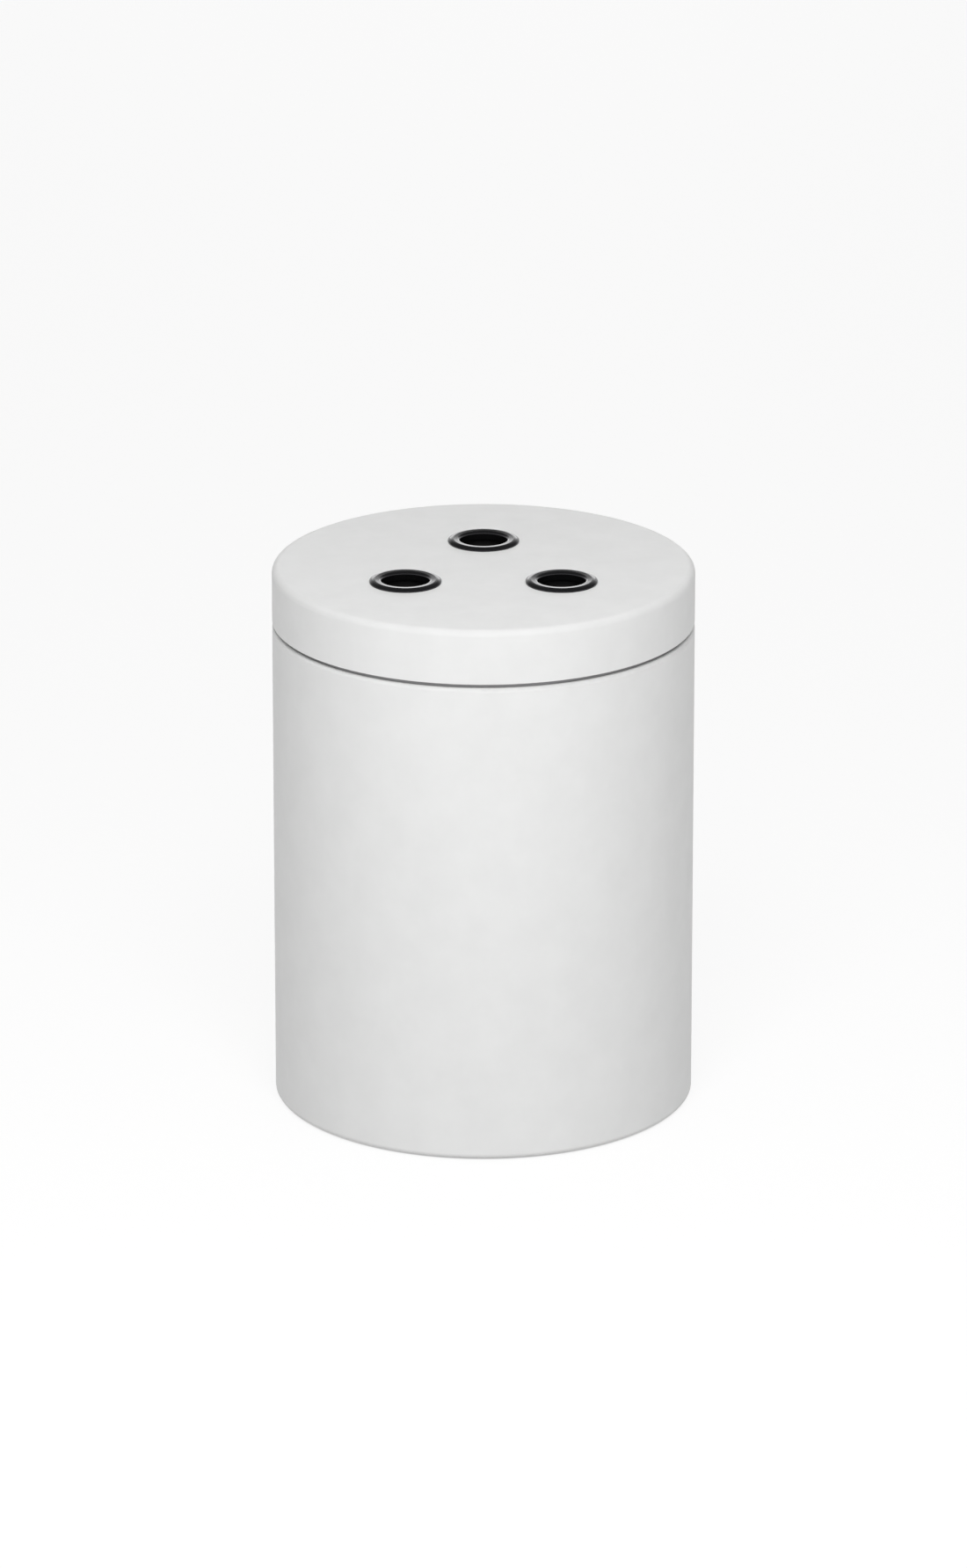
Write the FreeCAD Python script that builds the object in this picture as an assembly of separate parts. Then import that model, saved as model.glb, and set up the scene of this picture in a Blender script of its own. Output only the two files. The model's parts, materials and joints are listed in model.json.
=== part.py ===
"""Fire blanket canister: a round steel can with a lift-off lid, and the rolled blanket inside it.

Millimetres, +Z up. The origin is on the standing plane, on the can's axis, and -Y is the front.
"""
import FreeCAD, Part
import math
import os

Vector = FreeCAD.Vector

# Driving dimensions of the closed canister.
CAN_DIAMETER = 180.0
TOTAL_HEIGHT = 236.2
LID_HEIGHT = 23.6
SHEET = 1.0
LID_EDGE_ROUND = 3.0
BASE_EDGE_ROUND = 1.5
SHOULDER_ROUND = 1.75
SHADOW_GAP = 1.8
FOOT_GAP = 0.6

# The three finger holes and their eyelets; the circle of holes is set forward of the axis.
HOLE_CIRCLE_RADIUS = 38.1
HOLE_CIRCLE_FORWARD = 4.1
HOLE_ANGLES = {"back": 90.0, "left": 210.0, "right": 330.0}
EYELET_THROAT = 10.0
EYELET_FLANGE = 15.3
EYELET_CREST = 12.9
EYELET_RISE = 1.4
EYELET_DISH = 0.12
EYELET_MOUTH_ROUND = 1.3
EYELET_EDGE = 0.55
EYELET_SHEET = 0.6
WASHER_SHEET = 0.8
CLINCH_ROUND = 1.6
FINGER_DEPTH = 27.0

# The rolled blanket and its pull tapes.
ROLL_RADIUS = 81.0
ROLL_HEIGHT = 173.0
TAPE_WIDTH = 27.0
TAPE_OFFSET = 34.0
TAPE_REACH = 53.0
TAPE_RISE = 9.0
TAPE_DROP = 38.0
TAPE_SPREAD = 43.0
TAPE_DEPTH = 2.0

# Gaps between pieces that slide and between pieces that are fixed together.
SLIDING_GAP = 0.35
FIXED_GAP = 0.05

# Places worked out from the driving dimensions.
RADIUS = CAN_DIAMETER / 2
INNER_RADIUS = RADIUS - SHEET
SEAM = TOTAL_HEIGHT - LID_HEIGHT
SHOULDER = SEAM - SHADOW_GAP
HEM_DEPTH = 8.0
HEM_INNER = RADIUS - 2 * SHEET
NECK_OUTER = HEM_INNER - FIXED_GAP
NECK_INNER = NECK_OUTER - SHEET
CUSHION_TOP = TOTAL_HEIGHT - SHEET - 0.3
CUSHION_SHEET = 1.2
NECK_TOP = CUSHION_TOP - CUSHION_SHEET
NECK_BOTTOM = SHOULDER - 20.0
FOOT_HEIGHT = 3.0
PAN_TOP = FOOT_HEIGHT + SHEET
ROLL_BOTTOM = PAN_TOP + 0.5
ROLL_TOP = ROLL_BOTTOM + ROLL_HEIGHT


def section(corners):
    """A closed face in the XZ plane; each corner is (radius, height, rounding)."""
    count = len(corners)
    entries = []
    for index in range(count):
        before = corners[index - 1]
        here = corners[index]
        after = corners[(index + 1) % count]
        entries.append(rounded_corner(before, here, after))
    edges = []
    for index in range(count):
        leaving = entries[index - 1][-1]
        arriving = entries[index][0]
        if leaving.distanceToPoint(arriving) > 1e-6:
            edges.append(Part.LineSegment(leaving, arriving).toShape())
        if len(entries[index]) == 3:
            edges.append(Part.Arc(*entries[index]).toShape())
    return Part.Face(Part.Wire(edges))


def rounded_corner(before, here, after):
    """The corner itself, or the start, middle and end of the arc that rounds it."""
    point = Vector(here[0], 0, here[1])
    rounding = here[2]
    if rounding == 0:
        return [point]
    back = (Vector(before[0], 0, before[1]) - point).normalize()
    ahead = (Vector(after[0], 0, after[1]) - point).normalize()
    half_angle = back.getAngle(ahead) / 2
    setback = rounding / math.tan(half_angle)
    bisector = (back + ahead).normalize()
    centre = point + bisector * (rounding / math.sin(half_angle))
    return [point + back * setback, centre - bisector * rounding, point + ahead * setback]


def turned(corners):
    """The solid of revolution of a section about the Z axis."""
    return section(corners).revolve(Vector(0, 0, 0), Vector(0, 0, 1), 360)


def at_hole(shape, angle, height=TOTAL_HEIGHT):
    """A copy of a shape with its own axis moved to one finger hole."""
    moved = shape.copy()
    across = HOLE_CIRCLE_RADIUS * math.cos(math.radians(angle))
    along = HOLE_CIRCLE_RADIUS * math.sin(math.radians(angle)) - HOLE_CIRCLE_FORWARD
    moved.translate(Vector(across, along, height))
    return moved


def can_wall():
    """Rolled wall: a curled lip at the bottom, and a shoulder at the top folded inward as a hem."""
    lip_inner = RADIUS - 3.5
    return turned([
        (RADIUS, FOOT_GAP, BASE_EDGE_ROUND),
        (RADIUS, SHOULDER, SHOULDER_ROUND),
        (HEM_INNER, SHOULDER, 0.2),
        (HEM_INNER, SHOULDER - HEM_DEPTH, 0.4),
        (INNER_RADIUS, SHOULDER - HEM_DEPTH, 0),
        (INNER_RADIUS, FOOT_GAP + SHEET, BASE_EDGE_ROUND - SHEET),
        (lip_inner, FOOT_GAP + SHEET, 0.4),
        (lip_inner, FOOT_GAP, 0.4),
    ])


def neck_ring():
    """Collar welded inside the shoulder; the lid slips over it and leaves a shadow gap."""
    return turned([
        (NECK_OUTER, NECK_BOTTOM, 0.3),
        (NECK_OUTER, NECK_TOP, 0),
        (NECK_INNER, NECK_TOP, 0),
        (NECK_INNER, NECK_BOTTOM, 0.3),
    ])


def base_pan():
    """Pressed bottom: a disc with an upturned flange welded inside the wall."""
    outer = INNER_RADIUS - FIXED_GAP
    inner = outer - SHEET
    flange_top = FOOT_HEIGHT + 11.0
    return turned([
        (0, FOOT_HEIGHT, 0),
        (outer, FOOT_HEIGHT, 1.6),
        (outer, flange_top, 0.3),
        (inner, flange_top, 0.3),
        (inner, PAN_TOP, 0.6),
        (0, PAN_TOP, 0),
    ])


def foot_pad(angle):
    """Rubber pad stuck under the base pan, just proud of the wall's lip."""
    pad_radius = 9.0
    pad = turned([
        (0, 0, 0),
        (pad_radius, 0, 0.5),
        (pad_radius, FOOT_HEIGHT, 0),
        (0, FOOT_HEIGHT, 0),
    ])
    circle = 68.0
    pad.translate(Vector(circle * math.cos(math.radians(angle)), circle * math.sin(math.radians(angle)), 0))
    return pad


def cushion_ring():
    """Rubber edge strip over the neck's rim, which the underside of the lid comes down on."""
    inner = NECK_INNER - CUSHION_SHEET
    lower_edge = NECK_TOP - 4.0
    return turned([
        (NECK_OUTER, NECK_TOP, 0),
        (NECK_OUTER, CUSHION_TOP, 0.4),
        (inner, CUSHION_TOP, 0.4),
        (inner, lower_edge, 0.3),
        (NECK_INNER, lower_edge, 0),
        (NECK_INNER, NECK_TOP, 0),
    ])


def lid_shell():
    """Drawn lid: flat top, rounded edge, and a skirt hemmed inside at its lower edge."""
    hem_inner = NECK_OUTER + SLIDING_GAP
    hem_height = 6.0
    shell = turned([
        (0, TOTAL_HEIGHT, 0),
        (RADIUS, TOTAL_HEIGHT, LID_EDGE_ROUND),
        (RADIUS, SEAM, 0.2),
        (hem_inner, SEAM, 0.5),
        (hem_inner, SEAM + hem_height, 0.3),
        (INNER_RADIUS, SEAM + hem_height, 0),
        (INNER_RADIUS, TOTAL_HEIGHT - SHEET, LID_EDGE_ROUND - SHEET),
        (0, TOTAL_HEIGHT - SHEET, 0),
    ])
    hole_radius = EYELET_THROAT + EYELET_SHEET + 0.1
    hole = Part.makeCylinder(hole_radius, 3 * SHEET, Vector(0, 0, -2 * SHEET))
    for angle in HOLE_ANGLES.values():
        shell = shell.cut(at_hole(hole, angle))
    return shell


def eyelet():
    """Finger ring: rounded flank, slightly dished land, rounded mouth, barrel, and a rolled lower edge.

    Its own origin is on its axis, at the lid's upper face.
    """
    clinch = -(SHEET + WASHER_SHEET)
    flank_run = EYELET_FLANGE - EYELET_CREST
    flank_drop = EYELET_RISE - EYELET_EDGE
    flank_round = (flank_run ** 2 + flank_drop ** 2) / (2 * flank_drop)
    flank_turn = math.asin(flank_run / flank_round) / 2
    crest = Vector(EYELET_CREST, 0, EYELET_RISE)
    flank_middle = Vector(
        EYELET_CREST + flank_round * math.sin(flank_turn),
        0,
        EYELET_RISE - flank_round * (1 - math.cos(flank_turn)),
    )
    mouth_top = EYELET_RISE - EYELET_DISH
    mouth_inset = EYELET_MOUTH_ROUND * (1 - math.cos(math.pi / 4))
    mouth_start = Vector(EYELET_THROAT + EYELET_MOUTH_ROUND, 0, mouth_top)
    mouth_middle = Vector(EYELET_THROAT + mouth_inset, 0, mouth_top - mouth_inset)
    mouth_end = Vector(EYELET_THROAT, 0, mouth_top - EYELET_MOUTH_ROUND)
    roll_centre = EYELET_THROAT + CLINCH_ROUND
    inner_round = CLINCH_ROUND - EYELET_SHEET
    barrel = EYELET_THROAT + EYELET_SHEET
    flange_foot = Vector(EYELET_FLANGE, 0, 0)
    flange_edge = Vector(EYELET_FLANGE, 0, EYELET_EDGE)
    barrel_end = Vector(EYELET_THROAT, 0, clinch)
    roll_bottom = Vector(roll_centre, 0, clinch - CLINCH_ROUND)
    roll_tip = Vector(roll_centre + CLINCH_ROUND, 0, clinch)
    roll_tip_inner = Vector(roll_centre + inner_round, 0, clinch)
    roll_inner_bottom = Vector(roll_centre, 0, clinch - inner_round)
    barrel_outside = Vector(barrel, 0, clinch)
    barrel_top = Vector(barrel, 0, 0)
    edges = [
        Part.LineSegment(flange_foot, flange_edge).toShape(),
        Part.Arc(flange_edge, flank_middle, crest).toShape(),
        Part.LineSegment(crest, mouth_start).toShape(),
        Part.Arc(mouth_start, mouth_middle, mouth_end).toShape(),
        Part.LineSegment(mouth_end, barrel_end).toShape(),
        Part.Arc(barrel_end, roll_bottom, roll_tip).toShape(),
        Part.LineSegment(roll_tip, roll_tip_inner).toShape(),
        Part.Arc(roll_tip_inner, roll_inner_bottom, barrel_outside).toShape(),
        Part.LineSegment(barrel_outside, barrel_top).toShape(),
        Part.LineSegment(barrel_top, flange_foot).toShape(),
    ]
    face = Part.Face(Part.Wire(edges))
    return face.revolve(Vector(0, 0, 0), Vector(0, 0, 1), 360)


def eyelet_washer():
    """Backing washer under the lid, which the eyelet's rolled edge is clenched against."""
    inner = EYELET_THROAT + EYELET_SHEET + 0.1
    outer = EYELET_THROAT + 2 * CLINCH_ROUND + 0.4
    return turned([
        (inner, -SHEET - WASHER_SHEET, 0),
        (outer, -SHEET - WASHER_SHEET, 0.2),
        (outer, -SHEET, 0),
        (inner, -SHEET, 0),
    ])


def finger_cup():
    """Moulded blind cup bonded under the lid round one eyelet; its inside takes a fingertip."""
    wall = 1.0
    inner = EYELET_THROAT + 2 * CLINCH_ROUND + 0.9
    outer = inner + wall
    flange = outer + 3.3
    flange_bottom = -SHEET - wall
    return turned([
        (inner, -SHEET, 0),
        (inner, -FINGER_DEPTH + wall, 3.0),
        (0, -FINGER_DEPTH + wall, 0),
        (0, -FINGER_DEPTH, 0),
        (outer, -FINGER_DEPTH, 4.0),
        (outer, flange_bottom, 0.5),
        (flange, flange_bottom, 0.4),
        (flange, -SHEET, 0),
    ])


def blanket_roll():
    """The folded and rolled blanket as one plain solid."""
    return turned([
        (0, ROLL_BOTTOM, 0),
        (ROLL_RADIUS, ROLL_BOTTOM, 2.0),
        (ROLL_RADIUS, ROLL_TOP, 2.0),
        (0, ROLL_TOP, 0),
    ])


def pull_tape(side):
    """One pull tape: bowed on top of the roll, turned over its rim, and slanting down its side."""
    outer_edge = TAPE_OFFSET + TAPE_WIDTH / 2
    length = TAPE_REACH + CAN_DIAMETER / 2
    front_corner = Vector(outer_edge - TAPE_WIDTH, -TAPE_REACH, ROLL_TOP)
    lying = Part.makeBox(TAPE_WIDTH, length, TAPE_RISE, front_corner)
    front_corners = [edge for edge in lying.Edges if edge.CenterOfMass.y < -TAPE_REACH + 0.1]
    upright = [edge for edge in front_corners if abs(edge.tangentAt(0).z) > 0.9]
    lying = lying.makeFillet(3.0, upright)
    tape_outer = ROLL_RADIUS + FIXED_GAP + TAPE_DEPTH
    lying = lying.common(Part.makeCylinder(tape_outer, TOTAL_HEIGHT))
    side_ring = Part.makeCylinder(tape_outer, TAPE_DROP, Vector(0, 0, ROLL_TOP - TAPE_DROP))
    side_ring = side_ring.cut(Part.makeCylinder(ROLL_RADIUS + FIXED_GAP, TOTAL_HEIGHT))
    corner = Vector(outer_edge - TAPE_SPREAD, 0, 0)
    hanging = side_ring.common(Part.makeBox(TAPE_SPREAD, CAN_DIAMETER, TOTAL_HEIGHT, corner))
    tape = lying.fuse(hanging).removeSplitter()
    if side < 0:
        tape = tape.mirror(Vector(0, 0, 0), Vector(1, 0, 0))
    return tape


def save(name, shape):
    """Write one node, after checking that it is one sound solid."""
    solid = shape.Solids[0]
    if len(shape.Solids) != 1 or not solid.isValid() or solid.Volume <= 0:
        raise ValueError(name + " is not one sound solid")
    solid.exportStep("parts/" + name + ".step")
    print(name, round(solid.Volume, 1), "mm3")


def main():
    os.makedirs("parts", exist_ok=True)
    save("can_wall", can_wall())
    save("neck_ring", neck_ring())
    save("base_pan", base_pan())
    save("cushion_ring", cushion_ring())
    for number in range(4):
        save("foot_pad_" + str(number + 1), foot_pad(45.0 + 90.0 * number))
    save("lid_shell", lid_shell())
    for place, angle in HOLE_ANGLES.items():
        save("eyelet_" + place, at_hole(eyelet(), angle))
        save("eyelet_washer_" + place, at_hole(eyelet_washer(), angle))
        save("finger_cup_" + place, at_hole(finger_cup(), angle))
    save("fire_blanket", blanket_roll())
    save("pull_tape_left", pull_tape(-1))
    save("pull_tape_right", pull_tape(1))


main()
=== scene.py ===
"""Looks of the fire blanket canister: coating, metals, the rolled blanket, its tapes, light and camera.

Metres throughout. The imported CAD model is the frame, and every place is worked out from it.
Bare numbers in noise coordinates only pick separate places in the noise field.
"""
import bpy
import json
import math
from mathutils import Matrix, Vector, noise


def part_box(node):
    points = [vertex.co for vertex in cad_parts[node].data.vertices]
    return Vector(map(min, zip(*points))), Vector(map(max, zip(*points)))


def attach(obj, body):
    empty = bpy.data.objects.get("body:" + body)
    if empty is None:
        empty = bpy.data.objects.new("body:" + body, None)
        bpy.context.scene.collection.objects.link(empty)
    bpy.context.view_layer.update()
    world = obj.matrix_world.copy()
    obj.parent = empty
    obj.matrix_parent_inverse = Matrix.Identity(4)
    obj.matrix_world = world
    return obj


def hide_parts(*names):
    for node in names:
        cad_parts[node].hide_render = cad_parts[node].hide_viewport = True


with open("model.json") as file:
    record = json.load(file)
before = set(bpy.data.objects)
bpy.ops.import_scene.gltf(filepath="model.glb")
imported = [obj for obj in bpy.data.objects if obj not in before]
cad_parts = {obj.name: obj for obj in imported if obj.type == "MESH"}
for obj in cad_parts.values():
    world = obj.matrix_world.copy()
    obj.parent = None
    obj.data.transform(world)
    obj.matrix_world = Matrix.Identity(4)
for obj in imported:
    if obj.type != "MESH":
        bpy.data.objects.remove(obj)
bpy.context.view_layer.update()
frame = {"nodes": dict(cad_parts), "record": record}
nodes = frame["nodes"]
MM = 0.001

# The blanket: a hemmed sheet, folded in layers to a strip, and the strip rolled up.
BLANKET_LONG = 1.8
CLOTH_THICK = 0.9 * MM
LAYERS = 7
HEM_LAYER = (LAYERS + 1) // 2
CORE_RADIUS = 14 * MM
HEM_WIDTH = 14 * MM
ROLL_END_ANGLE = math.radians(160)

# How unevenly it was folded and rolled. Waves are counted per metre.
FOLD_SPREAD = 3.5 * MM
FOLD_SLOW_WAVES = 11
FOLD_QUICK_WAVES = 47
FOLD_QUICK_SHARE = 0.22
ROLL_SQUEEZE = 0.012
ROLL_SQUEEZE_ANGLE = 0.7
RIPPLE_DEPTH = 0.7 * MM
RIPPLES_ROUND = 26
RIPPLES_UP = 9
END_STAGGER = 1.6 * MM
END_REGION = 40 * MM

# Steps of the blanket's mesh.
COLUMN_ANGLE = math.radians(4.5)
RUN_STEPS = 12
HEM_STEPS = 3
BEND_STEPS = 5

# Sewing.
STITCH_PITCH = 3.3 * MM
STITCH_LENGTH = 2.3 * MM
HEM_STITCH_SHARE = 0.7
THREAD_RADIUS = 0.3 * MM
THREAD_TIP = 0.45
THREAD_RINGS = 5
THREAD_SIDES = 6
HEM_SEAM_DROP = 11 * MM
END_SEAM_INSET = 10 * MM
END_SEAM_ABOVE_BOTTOM = 5 * MM
END_SEAM_BELOW_HEM = 4 * MM

# The pull tapes.
TAPE_WIDE = 25 * MM
TAPE_THICK = 1.2 * MM
TAPE_EDGE_ROUND = 0.35 * MM
TAPE_OFFSET = 34 * MM
TAPE_SEWN = 34 * MM
TAPE_RETURN = 26 * MM
TAPE_RETURN_SLOPE = 0.52
TAPE_LOOP_RADIUS = 3.2 * MM
TAPE_LOOP_STEPS = 10
TAPE_BEND = 2.6 * MM
TAPE_STEP = MM
TAPE_COLUMNS = 10
TAPE_DRIFT = 0.5 * MM
TAPE_FRONT_ROOM = 1.5 * MM
TAPE_LIFT = 0.1 * MM
TAPE_PLY_GAP = 0.05 * MM
TAPE_RIM_GAP = 0.3 * MM
TAPE_SIDE_GAP = 0.15 * MM
TAPE_RIM_DROP = 10 * MM
TAPE_SIDE_DROP = 3 * MM
RIM_ROUNDS = 4
COURSE_MARGIN = 1.001
BOX_INSET = 3 * MM
BOX_LENGTH = 20 * MM
BOX_FROM_SEWN_END = 4 * MM
BOX_FROM_LOOSE_END = 5 * MM

# Where the roll's outside steps out from the last layer to the hem.
HEM_STEP_BELOW = 5 * MM
HEM_STEP_HEIGHT = 3 * MM

# The roll's places, worked out from its plain solid and from the strip's length.
roll_low, roll_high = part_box("fire_blanket")
ROLL_BOTTOM = roll_low[2] + 0.8 * MM
ROLL_TOP = roll_high[2] - 0.1 * MM
ROLL_OUTER = roll_high[0] - 6.2 * MM
ROLL_PITCH = math.pi * (ROLL_OUTER ** 2 - CORE_RADIUS ** 2) / BLANKET_LONG
ROLL_TURNED = 2 * math.pi * (ROLL_OUTER - CORE_RADIUS) / ROLL_PITCH
LAYER_STEP = ROLL_PITCH / (LAYERS + 1)

# Each look's two shades, which run into each other, and the dark colours of painted shade: at the wall's
# foot and in the weaves' hollows.
COATING_SHADES = ((0.751, 0.753, 0.749), (0.781, 0.783, 0.779))
COATING_FOOT_SHADE = (0.49, 0.49, 0.485)
ZINC_SHADES = ((0.52, 0.53, 0.54), (0.63, 0.63, 0.63))
# The neck's dark grey is partly painted shade, deepening the gap under the lid.
PHOSPHATE_AND_GAP_SHADE = ((0.24, 0.24, 0.243), (0.32, 0.32, 0.324))
NICKEL_SHADES = ((0.042, 0.042, 0.045), (0.06, 0.06, 0.063))
BLACK_SHADES = ((0.018, 0.018, 0.018), (0.028, 0.028, 0.028))
CLOTH_SHADES = ((0.74, 0.725, 0.68), (0.82, 0.81, 0.78))
CLOTH_HOLLOW_SHADE = (0.5, 0.48, 0.43)
WEBBING_SHADES = ((0.50, 0.018, 0.016), (0.62, 0.03, 0.024))
WEBBING_HOLLOW_SHADE = (0.22, 0.006, 0.006)
THREAD_SHADES = ((0.62, 0.47, 0.16), (0.78, 0.63, 0.28))

# Heights between which the painted shade at the wall's foot fades out.
FOOT_SHADE_FULL = 0.6 * MM
FOOT_SHADE_GONE = 2.8 * MM

# Yarn pitches of the weaves.
CLOTH_YARN = 1.5 * MM
WEBBING_RIB = 1.9 * MM
WEBBING_WEFT = 1.1 * MM

# The floor. It glows evenly outside a circle that lies just within the wall; inside it the glow is taken
# out, a painted shadow under the can.
FLOOR_REACH = 12.0
FLOOR_GREY = (0.18, 0.18, 0.18)
FLOOR_GLOW = 0.81
PAINTED_SHADOW_INNER_RADIUS = roll_high[0] + 5.4 * MM
PAINTED_SHADOW_OUTER_RADIUS = roll_high[0] + 7.9 * MM

# The surround: brightness, and the upward share of a direction where it starts and stops to darken.
HORIZON_BRIGHTNESS = 1.0
ZENITH_BRIGHTNESS = 0.15
PALE_UP_TO = 0.2
DARK_FROM = 0.46

# The camera, as the object's own proportions place it, and what the lights face.
CAMERA_DISTANCE = 3.759
CAMERA_ELEVATION = math.radians(19.12)
CAMERA_AIM_HEIGHT = 0.1378
CAMERA_LENS = 201.33
CAMERA_REACH = 50
SENSOR = 36.0
CAN_MIDDLE = (0, 0, 0.12)


# ---------------------------------------------------------------- node helpers

def new_material(name):
    """An empty node material, its tree and its Principled shader."""
    material = bpy.data.materials.new(name)
    material.use_nodes = True
    tree = material.node_tree
    return material, tree, tree.nodes["Principled BSDF"]


def add(tree, kind, inputs=None, **settings):
    """One shader node; inputs maps a socket name or index to a value or to another node's output."""
    made = tree.nodes.new(kind)
    for key, value in settings.items():
        setattr(made, key, value)
    for key, value in (inputs or {}).items():
        if isinstance(value, bpy.types.NodeSocket):
            tree.links.new(value, made.inputs[key])
        else:
            made.inputs[key].default_value = value
    return made


def place(tree):
    """Positions in the row frame, in metres, which don't move with a pose."""
    return add(tree, "ShaderNodeTexCoord").outputs["Object"]


def grain(tree, vector, scale, detail=2.0, roughness=0.5):
    """Noise from 0 to 1 with features of about 1/scale metres."""
    inputs = {"Vector": vector, "Scale": scale, "Detail": detail, "Roughness": roughness}
    return add(tree, "ShaderNodeTexNoise", inputs).outputs["Fac"]


def streaks(tree, vector, stretch, scale, detail, roughness):
    """Noise that is finer along the axes with the larger stretch."""
    stretched = add(tree, "ShaderNodeMapping", {"Vector": vector, "Scale": stretch})
    return grain(tree, stretched.outputs["Vector"], scale, detail, roughness)


def spread(tree, value, low, high, source_low=0.3, source_high=0.7):
    """A value mapped from its usual range to low..high."""
    inputs = {"Value": value, "From Min": source_low, "From Max": source_high, "To Min": low, "To Max": high}
    return add(tree, "ShaderNodeMapRange", inputs).outputs["Result"]


def two_colours(tree, factor, shades):
    """A colour that goes from the first shade to the second as factor goes from 0 to 1."""
    made = add(tree, "ShaderNodeMix", {0: factor}, data_type="RGBA")
    made.inputs["A"].default_value = (*shades[0], 1)
    made.inputs["B"].default_value = (*shades[1], 1)
    return made.outputs["Result"]


def darkened(tree, colour, amount, dark):
    """A colour turned towards a dark one by an amount from 0 to 1."""
    made = add(tree, "ShaderNodeMix", {0: amount}, data_type="RGBA")
    tree.links.new(colour, made.inputs["A"])
    made.inputs["B"].default_value = (*dark, 1)
    return made.outputs["Result"]


def bump(tree, height, distance, strength=1.0, normal=None):
    """Surface relief of a height from 0 to 1 times a distance in metres."""
    inputs = {"Height": height, "Distance": distance, "Strength": strength}
    if normal is not None:
        inputs["Normal"] = normal
    return add(tree, "ShaderNodeBump", inputs).outputs["Normal"]


# ---------------------------------------------------------------- materials

def coating_material():
    """Matt white powder coat: faint clouding, fine orange peel, and painted shade at the wall's foot."""
    material, tree, shader = new_material("white_powder_coat")
    where = place(tree)
    clouds = grain(tree, where, scale=60, detail=5, roughness=0.6)
    peel = grain(tree, where, scale=900, detail=1)
    swell = grain(tree, where, scale=260, detail=1)
    white = two_colours(tree, spread(tree, clouds, 0.0, 1.0), COATING_SHADES)
    # Painted shade: the coating's colour darkens towards the wall's foot.
    height = add(tree, "ShaderNodeSeparateXYZ", {"Vector": where}).outputs["Z"]
    soil_and_painted_shade = spread(tree, height, 1.0, 0.0, FOOT_SHADE_FULL, FOOT_SHADE_GONE)
    tree.links.new(darkened(tree, white, soil_and_painted_shade, COATING_FOOT_SHADE), shader.inputs["Base Color"])
    tree.links.new(spread(tree, swell, low=0.5, high=0.6), shader.inputs["Roughness"])
    swollen = bump(tree, swell, distance=0.05 * MM, strength=0.3)
    relief = bump(tree, peel, distance=0.03 * MM, strength=0.5, normal=swollen)
    tree.links.new(relief, shader.inputs["Normal"])
    shader.inputs["IOR"].default_value = 1.5
    return material


def steel_material():
    """Bare zinc-plated steel, with fine marks round the axis."""
    material, tree, shader = new_material("bare_steel")
    where = place(tree)
    marks = streaks(tree, where, stretch=(1, 1, 40), scale=60, detail=4, roughness=0.6)
    stains = grain(tree, where, scale=35, detail=3)
    tree.links.new(two_colours(tree, stains, ZINC_SHADES), shader.inputs["Base Color"])
    tree.links.new(spread(tree, marks, low=0.28, high=0.45), shader.inputs["Roughness"])
    tree.links.new(bump(tree, marks, distance=0.02 * MM, strength=0.4), shader.inputs["Normal"])
    shader.inputs["Metallic"].default_value = 1.0
    return material


def dark_steel_material():
    """Black phosphated steel, dull, with fine rub marks where the lid slides. Its dark grey is partly the
    steel's own colour and partly painted shade, deepening the gap under the lid.
    """
    material, tree, shader = new_material("dark_steel")
    where = place(tree)
    rubs = streaks(tree, where, stretch=(40, 40, 1), scale=25, detail=3, roughness=0.6)
    bloom = grain(tree, where, scale=50, detail=3)
    crystals = grain(tree, where, scale=1200, detail=1)
    tree.links.new(two_colours(tree, bloom, PHOSPHATE_AND_GAP_SHADE), shader.inputs["Base Color"])
    tree.links.new(spread(tree, rubs, low=0.5, high=0.7), shader.inputs["Roughness"])
    tree.links.new(bump(tree, crystals, distance=0.02 * MM, strength=0.4), shader.inputs["Normal"])
    return material


def black_nickel_material():
    """Dark polished plating on the finger rings, with faint handling marks."""
    material, tree, shader = new_material("black_nickel")
    where = place(tree)
    smears = grain(tree, where, scale=180, detail=3)
    ripple = grain(tree, where, scale=500, detail=2)
    tree.links.new(two_colours(tree, smears, NICKEL_SHADES), shader.inputs["Base Color"])
    tree.links.new(spread(tree, smears, low=0.10, high=0.18), shader.inputs["Roughness"])
    tree.links.new(bump(tree, ripple, distance=0.01 * MM, strength=0.2), shader.inputs["Normal"])
    shader.inputs["Metallic"].default_value = 0.9
    return material


def moulded_material(name, smoothest, roughest, texture):
    """Black moulded plastic or rubber with a fine grain, of so many features per metre."""
    material, tree, shader = new_material(name)
    where = place(tree)
    fine = grain(tree, where, scale=texture, detail=2)
    wide = grain(tree, where, scale=90, detail=2)
    tree.links.new(two_colours(tree, wide, BLACK_SHADES), shader.inputs["Base Color"])
    tree.links.new(spread(tree, wide, smoothest, roughest), shader.inputs["Roughness"])
    tree.links.new(bump(tree, fine, distance=0.04 * MM, strength=0.5), shader.inputs["Normal"])
    return material


def glass_cloth_material():
    """Plain-woven glass cloth: pale, with thick yarns and a faint sheen."""
    material, tree, shader = new_material("glass_cloth")
    weave, hollow_shade_mask = woven(tree, CLOTH_YARN, CLOTH_YARN)
    where = place(tree)
    soil_and_painted_shade = grain(tree, where, scale=14, detail=3)
    fuzz = grain(tree, where, scale=1400, detail=3)
    pale = two_colours(tree, soil_and_painted_shade, CLOTH_SHADES)
    # Painted shade: the cloth's colour darkens in the weave's hollows.
    hollow_shade = spread(tree, hollow_shade_mask, 0.0, 0.35, 0, 1)
    tree.links.new(darkened(tree, pale, hollow_shade, CLOTH_HOLLOW_SHADE), shader.inputs["Base Color"])
    yarns = bump(tree, weave, distance=0.25 * MM, strength=0.9)
    relief = bump(tree, fuzz, distance=0.15 * MM, strength=0.4, normal=yarns)
    tree.links.new(relief, shader.inputs["Normal"])
    shader.inputs["Roughness"].default_value = 0.72
    shader.inputs["Sheen Weight"].default_value = 0.25
    return material


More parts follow.
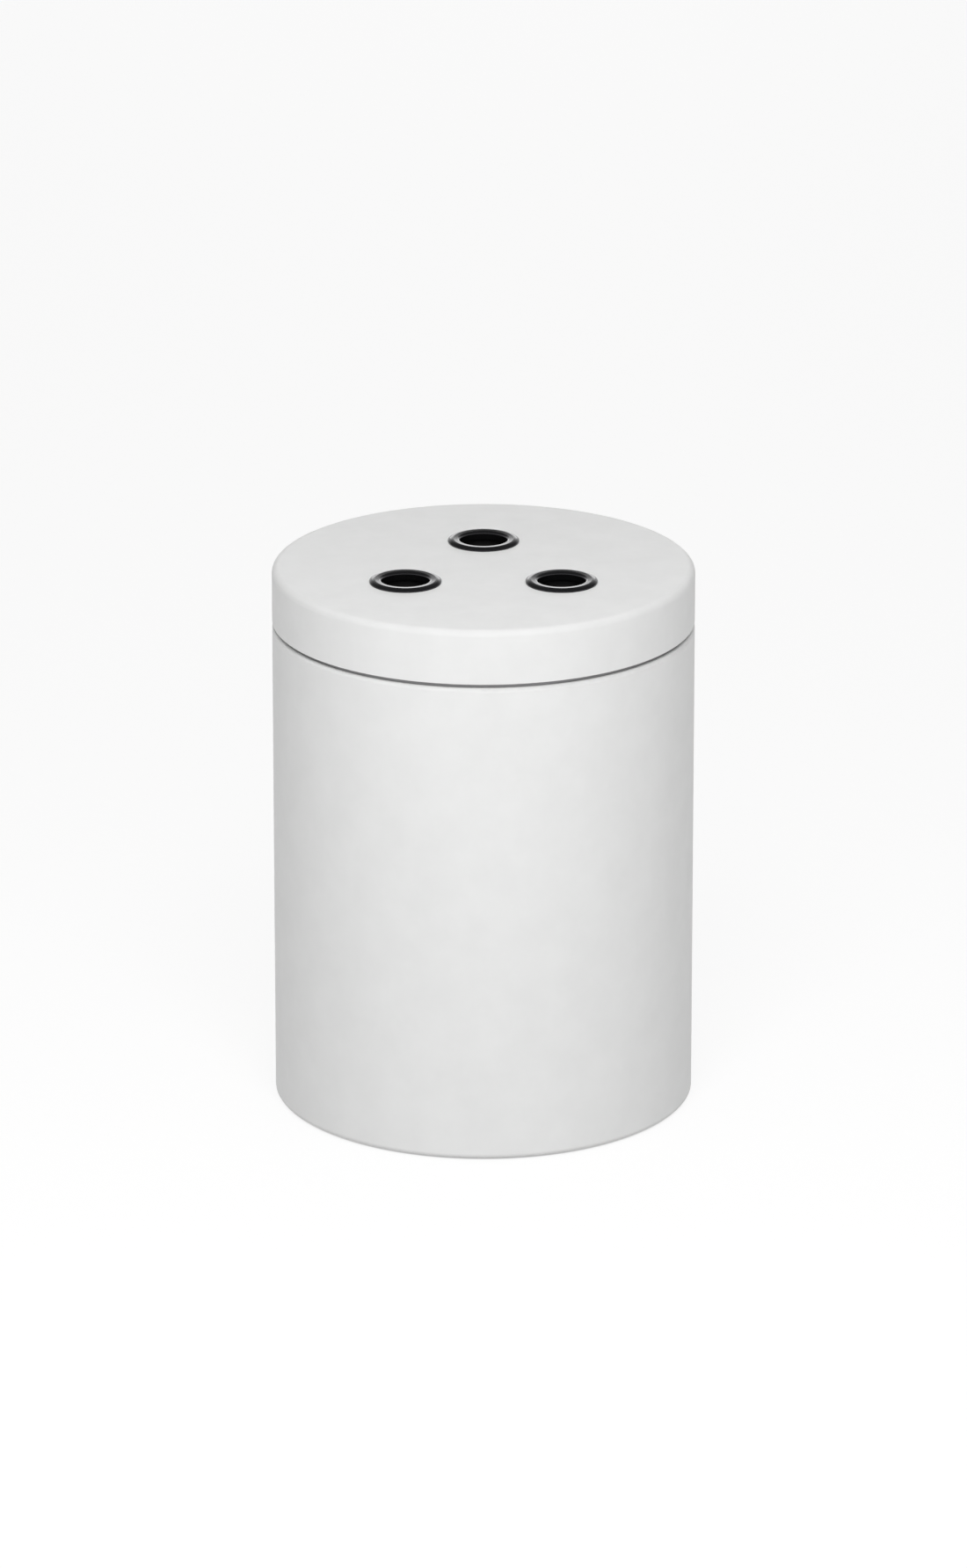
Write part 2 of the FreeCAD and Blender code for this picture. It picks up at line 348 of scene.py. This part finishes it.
def webbing_material():
    """Red polyester webbing: ribs along its length, crossed by a finer weft."""
    material, tree, shader = new_material("red_webbing")
    weave, hollow_shade_mask = woven(tree, WEBBING_RIB, WEBBING_WEFT)
    where = place(tree)
    worn = grain(tree, where, scale=60, detail=3)
    fuzz = grain(tree, where, scale=2500, detail=2)
    red = two_colours(tree, worn, WEBBING_SHADES)
    # Painted shade: the webbing's colour darkens in the weave's hollows.
    hollow_shade = spread(tree, hollow_shade_mask, 0.0, 0.55, 0, 1)
    tree.links.new(darkened(tree, red, hollow_shade, WEBBING_HOLLOW_SHADE), shader.inputs["Base Color"])
    yarns = bump(tree, weave, distance=0.3 * MM, strength=0.9)
    relief = bump(tree, fuzz, distance=0.06 * MM, strength=0.4, normal=yarns)
    tree.links.new(relief, shader.inputs["Normal"])
    shader.inputs["Roughness"].default_value = 0.6
    shader.inputs["Sheen Weight"].default_value = 0.2
    return material


def thread_material():
    """Straw-coloured aramid sewing thread."""
    material, tree, shader = new_material("aramid_thread")
    twist = grain(tree, place(tree), scale=2600, detail=2)
    tree.links.new(two_colours(tree, twist, THREAD_SHADES), shader.inputs["Base Color"])
    tree.links.new(bump(tree, twist, distance=0.05 * MM, strength=0.5), shader.inputs["Normal"])
    shader.inputs["Roughness"].default_value = 0.55
    return material


def woven(tree, first_pitch, second_pitch):
    """Height of a plain weave on the sheet's flat coordinates, and how deep each place lies in a hollow, the
    mask for the painted shade there.
    """
    flat = add(tree, "ShaderNodeUVMap", uv_map="flat").outputs["UV"]
    parts = add(tree, "ShaderNodeSeparateXYZ", {"Vector": flat})
    waves = []
    for socket, pitch in (("X", first_pitch), ("Y", second_pitch)):
        turned = math_node(tree, "MULTIPLY", parts.outputs[socket], math.pi / pitch)
        waves.append(math_node(tree, "SINE", turned))
    crossed = math_node(tree, "MULTIPLY", waves[0], waves[1])
    height = math_node(tree, "ABSOLUTE", crossed)
    return height, math_node(tree, "SUBTRACT", 1.0, height)


def math_node(tree, operation, *values):
    """The result of one operation on one or two values."""
    return add(tree, "ShaderNodeMath", dict(enumerate(values)), operation=operation).outputs["Value"]


def paint_nodes():
    """Give each CAD node the material of its slot."""
    made = {
        "white_coating": coating_material(),
        "bare_steel": steel_material(),
        "dark_steel": dark_steel_material(),
        "black_nickel": black_nickel_material(),
        "black_plastic": moulded_material("black_plastic", smoothest=0.5, roughest=0.65, texture=1500),
        "black_rubber": moulded_material("black_rubber", smoothest=0.65, roughest=0.8, texture=1100),
    }
    for part in frame["record"]["subparts"]:
        material = made.get(part["material_slot"])
        if material is not None:
            mesh = nodes[part["node"]].data
            mesh.materials.clear()
            mesh.materials.append(material)


# ---------------------------------------------------------------- objects and sheets

def new_object(name, data):
    """An object in the scene that shows the data."""
    made = bpy.data.objects.new(name, data)
    bpy.context.scene.collection.objects.link(made)
    return made


def smooth_object(name, places, faces):
    """A smooth-shaded mesh in the scene."""
    mesh = bpy.data.meshes.new(name)
    mesh.from_pydata(places, [], faces)
    mesh.shade_smooth()
    return new_object(name, mesh)


def grid_object(name, places, flat, rows, columns):
    """A sheet of columns of points, each with as many rows, and its flat coordinates as its UV map."""
    faces = []
    for column in range(columns - 1):
        for row in range(rows - 1):
            first = column * rows + row
            faces.append((first, first + rows, first + rows + 1, first + 1))
    made = smooth_object(name, places, faces)
    layer = made.data.uv_layers.new(name="flat")
    for loop in made.data.loops:
        layer.data[loop.index].uv = flat[loop.vertex_index]
    return made


def thicken(obj, thickness, edge=0.0):
    """Give a sheet its thickness, and soften its cut edges."""
    solid = obj.modifiers.new("thickness", "SOLIDIFY")
    solid.thickness = thickness
    solid.offset = 0.0
    if edge:
        soft = obj.modifiers.new("soft_edges", "BEVEL")
        soft.width = edge
        soft.segments = 2
        soft.angle_limit = math.radians(60)


def outward(where):
    """The level direction away from the can's axis."""
    return Vector((where.x, where.y, 0)).normalized()


# ---------------------------------------------------------------- the rolled blanket

def roll_radius(turned):
    """Radius of the middle of the strip, after it has been wound through an angle."""
    return CORE_RADIUS + ROLL_PITCH * turned / (2 * math.pi)


def roll_point(turned, layer, height, out=0.0):
    """A place on the cloth: angle wound, layers out from the strip's middle, height, metres outward."""
    angle = ROLL_END_ANGLE - ROLL_TURNED + turned
    radius = roll_radius(turned) + layer * LAYER_STEP
    across = Vector((math.cos(angle), math.sin(angle), 0))
    squeeze = 1 - ROLL_SQUEEZE * (1 + math.cos(2 * angle + ROLL_SQUEEZE_ANGLE))
    where = across * radius + Vector((0, 0, height))
    ripple = noise.noise(Vector((where.x * RIPPLES_ROUND, where.y * RIPPLES_ROUND, where.z * RIPPLES_UP)))
    radius = radius * squeeze + RIPPLE_DEPTH * ripple * min(radius / ROLL_OUTER, 1) + out
    return across * radius + Vector((0, 0, height))


def fold_height(fold, along):
    """Height of one fold's crest at a distance along the strip: folds don't line up exactly."""
    slow = noise.noise(Vector((along * FOLD_SLOW_WAVES, fold * 3.7, 1.5)))
    quick = noise.noise(Vector((along * FOLD_QUICK_WAVES, fold * 5.3, 8.5)))
    lost = FOLD_SPREAD * (0.5 + 0.5 * slow + FOLD_QUICK_SHARE * quick)
    if fold % 2 == 0:
        return ROLL_BOTTOM + lost
    return ROLL_TOP - lost


def fold_bend(layer, crest, sign):
    """Half-round bend out to the next layer, as (layer, height); sign is 1 at the top, -1 at the bottom."""
    bend = []
    radius = LAYER_STEP / 2
    for step in range(1, BEND_STEPS):
        turn = math.pi * step / BEND_STEPS
        height = crest - sign * radius * (1 - math.sin(turn))
        bend.append((layer + (1 - math.cos(turn)) / 2, height))
    return bend


def run_points(layer, start, end, count):
    """Evenly spaced (layer, height) points of one straight run of the cloth."""
    return [(layer, start + (end - start) * step / count) for step in range(count + 1)]


def strip_section(along):
    """The folded strip seen end on, at a distance along it: (layer, height) from hem to hem."""
    radius = LAYER_STEP / 2
    crests = [fold_height(fold, along) for fold in range(LAYERS + 1)]
    points = run_points(-HEM_LAYER, crests[0] + HEM_WIDTH, crests[0] + radius, HEM_STEPS)
    sign = 1
    for number in range(LAYERS):
        layer = number - HEM_LAYER
        points += fold_bend(layer, crests[number], -sign)
        start = crests[number] + sign * radius
        end = crests[number + 1] - sign * radius
        points += run_points(layer + 1, start, end, RUN_STEPS)
        sign = -sign
    points += fold_bend(HEM_LAYER - 1, crests[LAYERS], 1)
    points += run_points(HEM_LAYER, crests[LAYERS] - radius, crests[LAYERS] - HEM_WIDTH, HEM_STEPS)
    return points


def strip_length(turned):
    """Distance along the strip after it has been wound through an angle."""
    return CORE_RADIUS * turned + ROLL_PITCH * turned ** 2 / (4 * math.pi)


def end_stagger(layer, along):
    """How far one layer runs past the others, which only shows near the strip's end."""
    near = max(0.0, 1 - (BLANKET_LONG - along) / END_REGION)
    return near * END_STAGGER * noise.noise(Vector((layer * 2.3, 4.5, 0.5)))


def rolled_blanket():
    """The sheet, folded and rolled, as one surface with its flat coordinates in metres."""
    columns = round(ROLL_TURNED / COLUMN_ANGLE)
    places = []
    flat = []
    for column in range(columns + 1):
        turned = ROLL_TURNED * column / columns
        along = strip_length(turned)
        width = 0.0
        before = None
        for layer, height in strip_section(along):
            reach = turned + end_stagger(layer, along) / roll_radius(turned)
            here = roll_point(reach, layer, height)
            if before is not None:
                width += (here - before).length
            before = here
            places.append(here)
            flat.append((along, width))
    rows = len(places) // (columns + 1)
    return grid_object("rolled_blanket", places, flat, rows, columns + 1)


# ---------------------------------------------------------------- sewing

def stitch(sewing, start, end, normal):
    """Add one stitch: a short thread between two places, sunk at both ends."""
    places, faces = sewing
    along = end - start
    side = along.cross(normal).normalized()
    first = len(places)
    for ring in range(THREAD_RINGS):
        share = ring / (THREAD_RINGS - 1)
        arch = math.sin(math.pi * share)
        middle = start + along * share + normal * THREAD_RADIUS * (arch - 0.5)
        thick = THREAD_RADIUS * (THREAD_TIP + (1 - THREAD_TIP) * arch)
        for corner in range(THREAD_SIDES):
            turn = 2 * math.pi * corner / THREAD_SIDES
            places.append(middle + (side * math.cos(turn) + normal * math.sin(turn)) * thick)
    for ring in range(THREAD_RINGS - 1):
        lower = first + ring * THREAD_SIDES
        for corner in range(THREAD_SIDES):
            one = lower + corner
            two = lower + (corner + 1) % THREAD_SIDES
            faces.append((one, two, two + THREAD_SIDES, one + THREAD_SIDES))
    last = first + (THREAD_RINGS - 1) * THREAD_SIDES
    faces.append(tuple(range(first + THREAD_SIDES - 1, first - 1, -1)))
    faces.append(tuple(range(last, last + THREAD_SIDES)))


def sew(sewing, surface, start, end):
    """Stitches along a straight flat line; surface(a, b) gives a place and its outward normal."""
    span = math.dist(start, end)
    count = max(1, int(span / STITCH_PITCH))
    half = STITCH_LENGTH / span / 2
    for number in range(count):
        middle = (number + 0.5) / count
        ends = []
        for share in (middle - half, middle + half):
            first = start[0] + (end[0] - start[0]) * share
            second = start[1] + (end[1] - start[1]) * share
            ends.append(surface(first, second))
        normal = (ends[0][1] + ends[1][1]).normalized()
        stitch(sewing, ends[0][0], ends[1][0], normal)


def on_hem(turned):
    """A place on the top hem's seam, after an angle wound, and the outward direction."""
    height = fold_height(LAYERS, strip_length(turned)) - HEM_SEAM_DROP
    here = roll_point(turned, HEM_LAYER, height, CLOTH_THICK / 2)
    return here, outward(here)


def on_end(back, height):
    """A place on the outermost full layer, metres back from the strip's end, and the outward direction."""
    turned = ROLL_TURNED - back / roll_radius(ROLL_TURNED)
    here = roll_point(turned, HEM_LAYER - 1, height, CLOTH_THICK / 2)
    return here, outward(here)


def blanket_stitches():
    """The rows that show from outside: round the top hem on the last turn, and down the end."""
    sewing = ([], [])
    turn = ROLL_TURNED - 2 * math.pi
    step = STITCH_PITCH / roll_radius(ROLL_TURNED)
    while turn < ROLL_TURNED - step:
        start, normal = on_hem(turn)
        end = on_hem(turn + step * HEM_STITCH_SHARE)[0]
        stitch(sewing, start, end, normal)
        turn += step
    low = ROLL_BOTTOM + END_SEAM_ABOVE_BOTTOM
    high = ROLL_TOP - HEM_WIDTH - END_SEAM_BELOW_HEM
    sew(sewing, on_end, (END_SEAM_INSET, low), (END_SEAM_INSET, high))
    return smooth_object("blanket_stitches", *sewing)


# ---------------------------------------------------------------- the pull tapes

def roll_outside(angle, height):
    """Radius of the outside of the roll at an angle about the axis and a height."""
    back = (ROLL_END_ANGLE - angle) % (2 * math.pi)
    above_step = height - ROLL_TOP + HEM_WIDTH + HEM_STEP_BELOW
    hem_share = min(max(above_step / HEM_STEP_HEIGHT, 0), 1)
    layer = (LAYERS - 1) / 2 + hem_share
    here = roll_point(ROLL_TURNED - back, layer, height, CLOTH_THICK / 2)
    return math.hypot(here.x, here.y)


class Tape:
    """One pull tape. Flat coordinates: metres across from its middle, metres along from its sewn end."""

    def __init__(self, side):
        self.side = side
        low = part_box("pull_tape_right" if side > 0 else "pull_tape_left")[0]
        self.middle = side * TAPE_OFFSET
        self.front = low[1] + TAPE_FRONT_ROOM
        self.lie = ROLL_TOP + TAPE_THICK / 2 + TAPE_LIFT
        self.rim = self.rim_place()
        self.course = self.lay()

    def rim_place(self):
        """Where the tape's middle line passes over the roll's rim: angle and radius."""
        radius = ROLL_OUTER
        for _ in range(RIM_ROUNDS):
            angle = math.atan2(math.sqrt(radius ** 2 - self.middle ** 2), self.middle)
            radius = roll_outside(angle, ROLL_TOP - TAPE_RIM_DROP) + TAPE_THICK / 2 + TAPE_RIM_GAP
        return angle, radius

    def lay(self):
        """The middle line as (y, height), one step apart, as if it ran straight on past the rim."""
        rim_y = math.sqrt(self.rim[1] ** 2 - self.middle ** 2)
        start = rim_y + TAPE_SEWN
        loop = TAPE_LOOP_RADIUS
        course = []
        count = round((start - self.front - loop) / TAPE_STEP)
        for step in range(count + 1):
            course.append((start - step * TAPE_STEP, self.lie))
        centre = (course[-1][0], self.lie + loop)
        for step in range(1, TAPE_LOOP_STEPS):
            turn = math.pi * step / TAPE_LOOP_STEPS
            course.append((centre[0] - loop * math.sin(turn), centre[1] - loop * math.cos(turn)))
        top = self.lie + 2 * loop
        low = self.lie + TAPE_THICK + TAPE_PLY_GAP
        back = round((TAPE_RETURN - centre[0]) / TAPE_STEP)
        for step in range(back + 1):
            share = min(step / (TAPE_RETURN_SLOPE * back), 1)
            ease = share * share * (3 - 2 * share)
            course.append((centre[0] + step * TAPE_STEP, top + (low - top) * ease))
        return course

    def wrap(self, x, y, height):
        """A place of the straight course, turned down over the rim if it is past it."""
        angle, radius = self.rim
        out = Vector((math.cos(angle), math.sin(angle)))
        round_axis = Vector((-out.y, out.x))
        offset = Vector((x, y)) - out * radius
        sideways = offset.dot(round_axis)
        past = offset.dot(out) + sideways ** 2 / (2 * radius) + TAPE_BEND
        if past <= 0:
            return Vector((x, y, height))
        turn = min(past / TAPE_BEND, math.pi / 2)
        drop = TAPE_BEND * (1 - math.cos(turn)) + max(0.0, past - TAPE_BEND * math.pi / 2)
        reach = radius - TAPE_BEND + TAPE_BEND * math.sin(turn)
        here = angle + sideways / reach
        roll_side = roll_outside(here, min(height - drop, ROLL_TOP - TAPE_SIDE_DROP))
        lies_at = roll_side + TAPE_THICK / 2 + TAPE_SIDE_GAP
        reach += (lies_at - radius) * math.sin(turn) ** 2
        return Vector((math.cos(here) * reach, math.sin(here) * reach, height - drop))

    def point(self, across, along):
        """The place of a flat coordinate, along counted in steps and kept just short of the course's end."""
        along = min(max(along, 0), len(self.course) - COURSE_MARGIN)
        index = int(along)
        share = along - index
        one = self.course[index]
        two = self.course[index + 1]
        drift = TAPE_DRIFT * noise.noise(Vector((along * 0.025, self.side * 3.3, 0.5)))
        y = one[0] + (two[0] - one[0]) * share
        height = one[1] + (two[1] - one[1]) * share
        return self.wrap(self.middle + across + drift, y, height)

    def surface(self, across, along):
        """A place on the tape's upper face, and the face's normal; along in metres."""
        step = along / TAPE_STEP
        here = self.point(across, step)
        ahead = self.point(across, step + 0.5) - here
        aside = self.point(across + TAPE_STEP / 2, step) - here
        normal = ahead.cross(aside).normalized()
        if normal.z + 0.5 * normal.dot(outward(here)) < 0:
            normal = -normal
        return here + normal * TAPE_THICK / 2, normal

    def length(self):
        """Length of the webbing along its middle line."""
        total = 0.0
        for step in range(len(self.course) - 1):
            total += (self.point(0, step + 1) - self.point(0, step)).length
        return total


def tape_object(tape, name):
    """The webbing as one surface."""
    places = []
    flat = []
    count = len(tape.course)
    for step in range(count):
        for column in range(TAPE_COLUMNS + 1):
            across = TAPE_WIDE * (column / TAPE_COLUMNS - 0.5)
            places.append(tape.point(across, step))
            flat.append((across, step * TAPE_STEP))
    return grid_object(name, places, flat, TAPE_COLUMNS + 1, count)


def box_stitches(tape, name):
    """A square with its two diagonals at the sewn end, and one where the loop is closed."""
    sewing = ([], [])
    half = TAPE_WIDE / 2 - BOX_INSET
    last = len(tape.course) * TAPE_STEP - BOX_FROM_LOOSE_END
    for low in (BOX_FROM_SEWN_END, last - BOX_LENGTH):
        high = low + BOX_LENGTH
        corners = [(-half, low), (half, low), (half, high), (-half, high)]
        for number in range(4):
            sew(sewing, tape.surface, corners[number], corners[(number + 1) % 4])
        sew(sewing, tape.surface, corners[0], corners[2])
        sew(sewing, tape.surface, corners[1], corners[3])
    return smooth_object(name, *sewing)


# ---------------------------------------------------------------- soft goods in place

def settle(obj, material, slot_name, *stands_for):
    """The piece gets its look, moves with the blanket and stands for its plain solids."""
    obj.data.materials.append(material)
    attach(obj, "blanket")
    if stands_for:
        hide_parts(*stands_for)


def soft_goods():
    """The blanket and its tapes, in place of their plain solids."""
    cloth = glass_cloth_material()
    webbing = webbing_material()
    thread = thread_material()
    blanket = rolled_blanket()
    thicken(blanket, CLOTH_THICK)
    seams = blanket_stitches()
    settle(blanket, cloth, "glass_cloth", "fire_blanket")
    settle(seams, thread, "glass_cloth")
    for side, word in ((-1, "left"), (1, "right")):
        tape = Tape(side)
        band = tape_object(tape, "webbing_tape_" + word)
        thicken(band, TAPE_THICK, TAPE_EDGE_ROUND)
        seams = box_stitches(tape, "tape_stitches_" + word)
        settle(band, webbing, "tape_webbing", "pull_tape_" + word)
        settle(seams, thread, "tape_webbing")
        flat = (TAPE_WIDE, round(tape.length(), 3))


# ---------------------------------------------------------------- floor, light and camera

def stage_floor():
    """A plain pale floor, far larger than the view, lit from within, with a painted shadow under the can
    where the glow fades out.
    """
    mesh = bpy.data.meshes.new("floor")
    corners = [(x * FLOOR_REACH, y * FLOOR_REACH, 0) for x, y in ((-1, -1), (1, -1), (1, 1), (-1, 1))]
    mesh.from_pydata(corners, [], [(0, 1, 2, 3)])
    floor = new_object("floor", mesh)
    material, tree, shader = new_material("pale_floor")
    shader.inputs["Base Color"].default_value = (*FLOOR_GREY, 1)
    shader.inputs["Roughness"].default_value = 0.9
    shader.inputs["Emission Color"].default_value = (1, 1, 1, 1)
    # Painted shadow: the glow fades to nothing under the can.
    from_axis = add(tree, "ShaderNodeVectorMath", {0: place(tree)}, operation="LENGTH").outputs["Value"]
    glow_with_painted_shadow = spread(tree, from_axis, 0.0, FLOOR_GLOW, PAINTED_SHADOW_INNER_RADIUS, PAINTED_SHADOW_OUTER_RADIUS)
    tree.links.new(glow_with_painted_shadow, shader.inputs["Emission Strength"])
    mesh.materials.append(material)


def area_light(name, location, size, power, target=CAN_MIDDLE):
    """A rectangular soft light that faces a place; power in watts."""
    light = bpy.data.lights.new(name, "AREA")
    light.shape = "RECTANGLE"
    light.size, light.size_y = size
    light.energy = power
    made = new_object(name, light)
    made.location = location
    made.rotation_mode = "QUATERNION"
    made.rotation_quaternion = (Vector(target) - Vector(location)).to_track_quat("-Z", "Y")
    return made


def light_studio():
    """Soft panels above and in front, and one behind that shows in the finger rings."""
    key = area_light("key", location=(0, -0.8, 1.1), size=(0.6, 0.4), power=6.3)
    front = area_light("front", location=(0, -1.0, 0.7), size=(1.0, 0.5), power=3.9)
    overhead = area_light("overhead", location=(0, 0.8, 2.4), size=(4.0, 5.0), power=58, target=(0, 0.8, 0))
    back = area_light("back", location=(0, 2.6, 0.693), size=(1.1, 0.63), power=2.8, target=(0, 0, 0.24))
    for panel in (key, front, overhead):
        panel.visible_glossy = False
    back.visible_camera = False
    light_surround()
    bpy.context.scene.view_settings.view_transform = "Standard"


def light_surround():
    """A surround, pale at the horizon and dark overhead. It shows in reflections and adds no fill light."""
    world = bpy.data.worlds.new("surround")
    world.use_nodes = True
    tree = world.node_tree
    direction = add(tree, "ShaderNodeTexCoord").outputs["Generated"]
    upward = add(tree, "ShaderNodeSeparateXYZ", {"Vector": direction}).outputs["Z"]
    brightness = spread(tree, upward, HORIZON_BRIGHTNESS, ZENITH_BRIGHTNESS, PALE_UP_TO, DARK_FROM)
    background = tree.nodes["Background"]
    background.inputs["Color"].default_value = (1, 1, 1, 1)
    tree.links.new(brightness, background.inputs["Strength"])
    bpy.context.scene.world = world
    world.cycles_visibility.diffuse = False


def place_camera():
    """A long lens at the product view's height and distance."""
    camera = bpy.data.cameras.new("camera")
    camera.lens = CAMERA_LENS
    camera.sensor_width = SENSOR
    camera.clip_end = CAMERA_REACH
    made = new_object("camera", camera)
    back = Vector((0, -math.cos(CAMERA_ELEVATION), math.sin(CAMERA_ELEVATION)))
    made.location = Vector((0, 0, CAMERA_AIM_HEIGHT)) + back * CAMERA_DISTANCE
    made.rotation_mode = "QUATERNION"
    made.rotation_quaternion = (-back).to_track_quat("-Z", "Y")
    bpy.context.scene.camera = made


paint_nodes()
soft_goods()
stage_floor()
light_studio()
place_camera()
